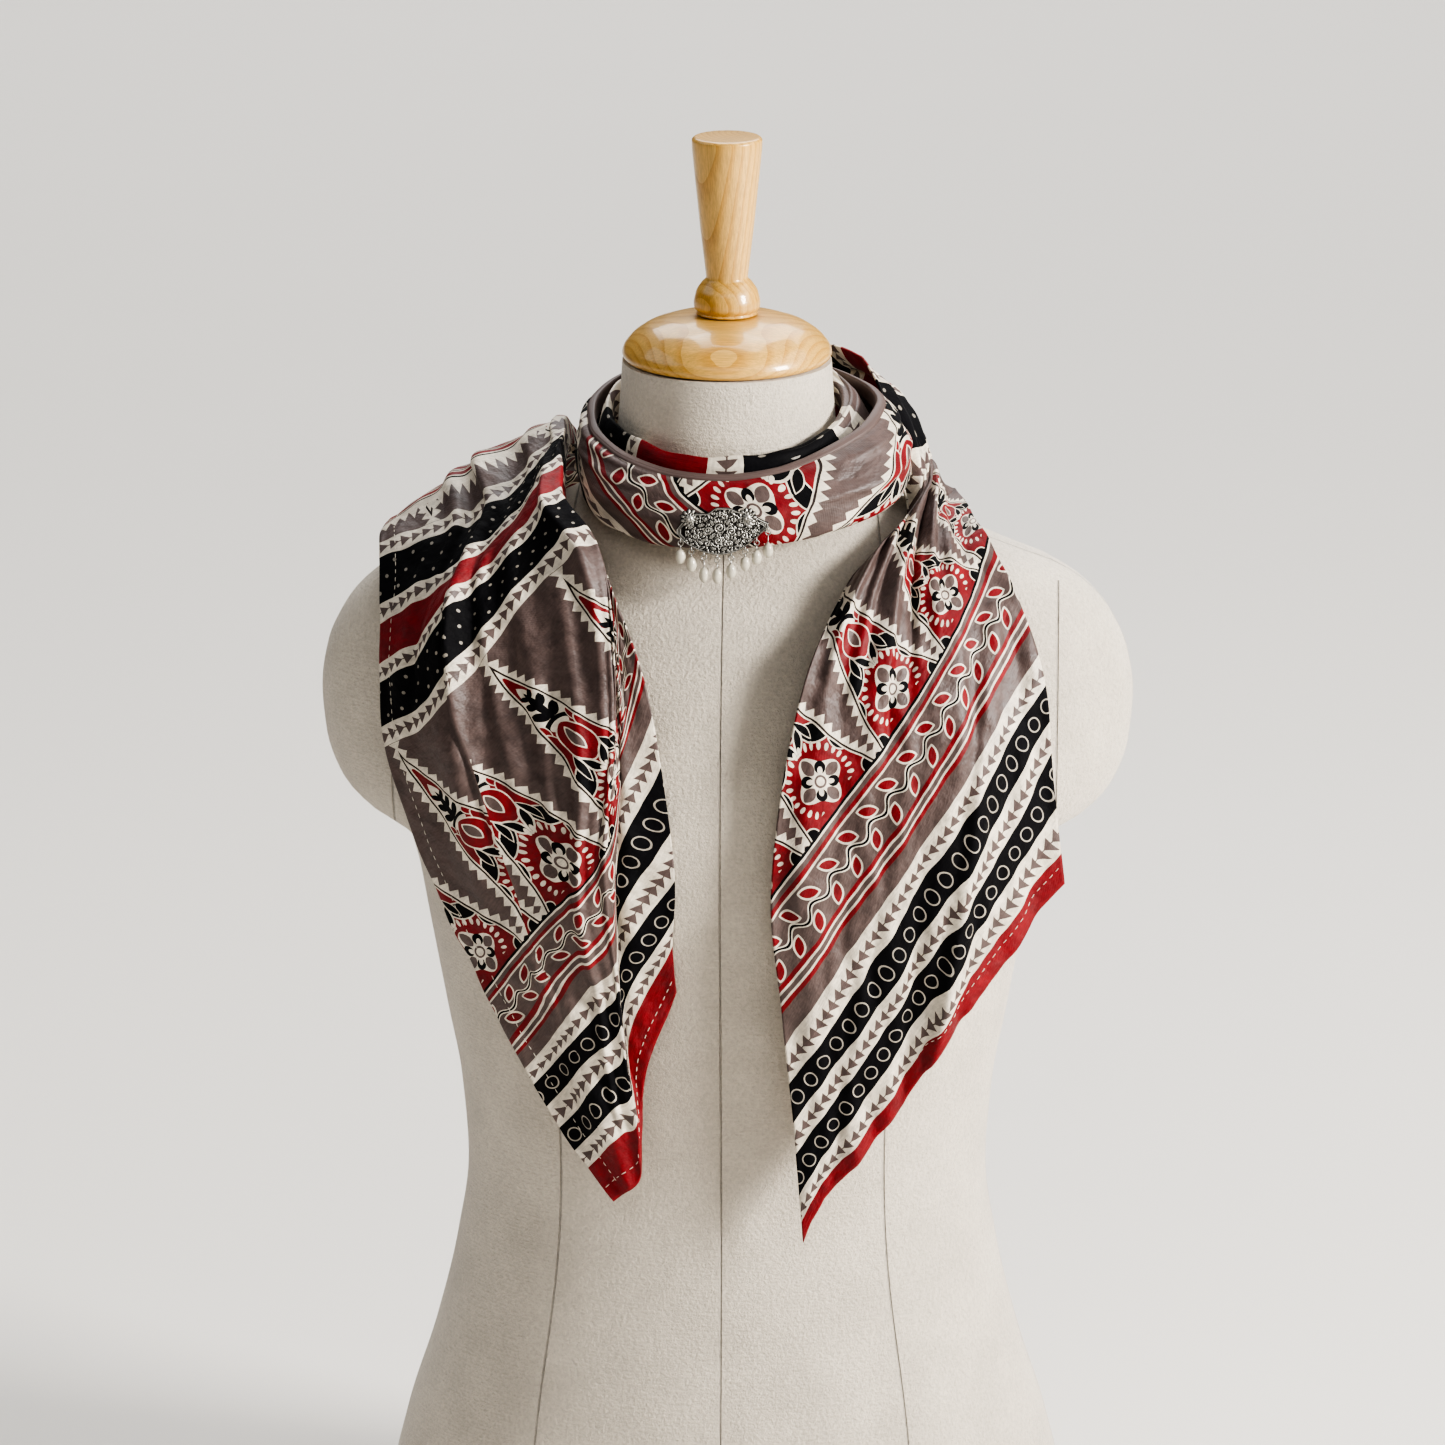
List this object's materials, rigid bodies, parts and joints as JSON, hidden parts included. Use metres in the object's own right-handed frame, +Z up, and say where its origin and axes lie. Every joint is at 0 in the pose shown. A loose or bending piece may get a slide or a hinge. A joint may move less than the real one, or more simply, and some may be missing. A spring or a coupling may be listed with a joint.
{
  "type": "silk scarf with brooch on dress form",
  "caption": "Block printed silk scarf wound once round the neck of a limbless dress form, with two long tails and a bar brooch of pearl drops at the throat.",
  "frame": {"origin": "centre of the dress form's flat underside, under the neck's axis", "axes": "+Z up along the neck's axis, -Y towards the front, +X towards the side where the shorter tail hangs"},
  "size_m": [0.4202, 0.2431, 0.7926],
  "materials": {
    "form_fabric": "matte pebbled velour",
    "wood": "clear gloss lacquer",
    "silk": "satin modal silk, block printed in madder, indigo black, taupe and cream",
    "silver": "oxidised silver with polished high spots",
    "pearl": "pearl lustre"
  },
  "bodies": {
    "form": {"dress_form": "form_fabric", "neck_cap": "wood", "finial": "wood", "throat_stretch": "silk", "gathered_edge": "silk", "right_tail": "silk", "left_tail": "silk", "brooch_plate": "silver"},
    "drop_1": {"pearl_drop_1": "pearl"},
    "drop_2": {"pearl_drop_2": "pearl"},
    "drop_3": {"pearl_drop_3": "pearl"},
    "drop_4": {"pearl_drop_4": "pearl"},
    "drop_5": {"pearl_drop_5": "pearl"},
    "drop_6": {"pearl_drop_6": "pearl"},
    "drop_7": {"pearl_drop_7": "pearl"},
    "drop_8": {"pearl_drop_8": "pearl"}
  },
  "joints": [
    {"name": "drop_1_swing", "type": "hinge", "parent": "form", "child": "drop_1", "pos_m": [-0.0203, -0.08747, 0.60392], "axis": [-1, 0, 0], "range_deg": [-12, 60]},
    {"name": "drop_2_swing", "type": "hinge", "parent": "form", "child": "drop_2", "pos_m": [-0.0148, -0.08882, 0.59989], "axis": [-1, 0, 0], "range_deg": [-12, 60]},
    {"name": "drop_3_swing", "type": "hinge", "parent": "form", "child": "drop_3", "pos_m": [-0.0085, -0.08979, 0.5974], "axis": [-1, 0, 0], "range_deg": [-12, 60]},
    {"name": "drop_4_swing", "type": "hinge", "parent": "form", "child": "drop_4", "pos_m": [-0.0018, -0.09026, 0.5961], "axis": [-1, 0, 0], "range_deg": [-12, 60]},
    {"name": "drop_5_swing", "type": "hinge", "parent": "form", "child": "drop_5", "pos_m": [0.0052, -0.09007, 0.59708], "axis": [-1, 0, 0], "range_deg": [-12, 60]},
    {"name": "drop_6_swing", "type": "hinge", "parent": "form", "child": "drop_6", "pos_m": [0.0122, -0.08919, 0.60028], "axis": [-1, 0, 0], "range_deg": [-12, 60]},
    {"name": "drop_7_swing", "type": "hinge", "parent": "form", "child": "drop_7", "pos_m": [0.0179, -0.08795, 0.60466], "axis": [-1, 0, 0], "range_deg": [-12, 60]},
    {"name": "drop_8_swing", "type": "hinge", "parent": "form", "child": "drop_8", "pos_m": [0.0236, -0.08629, 0.60961], "axis": [-1, 0, 0], "range_deg": [-12, 60]}
  ]
}
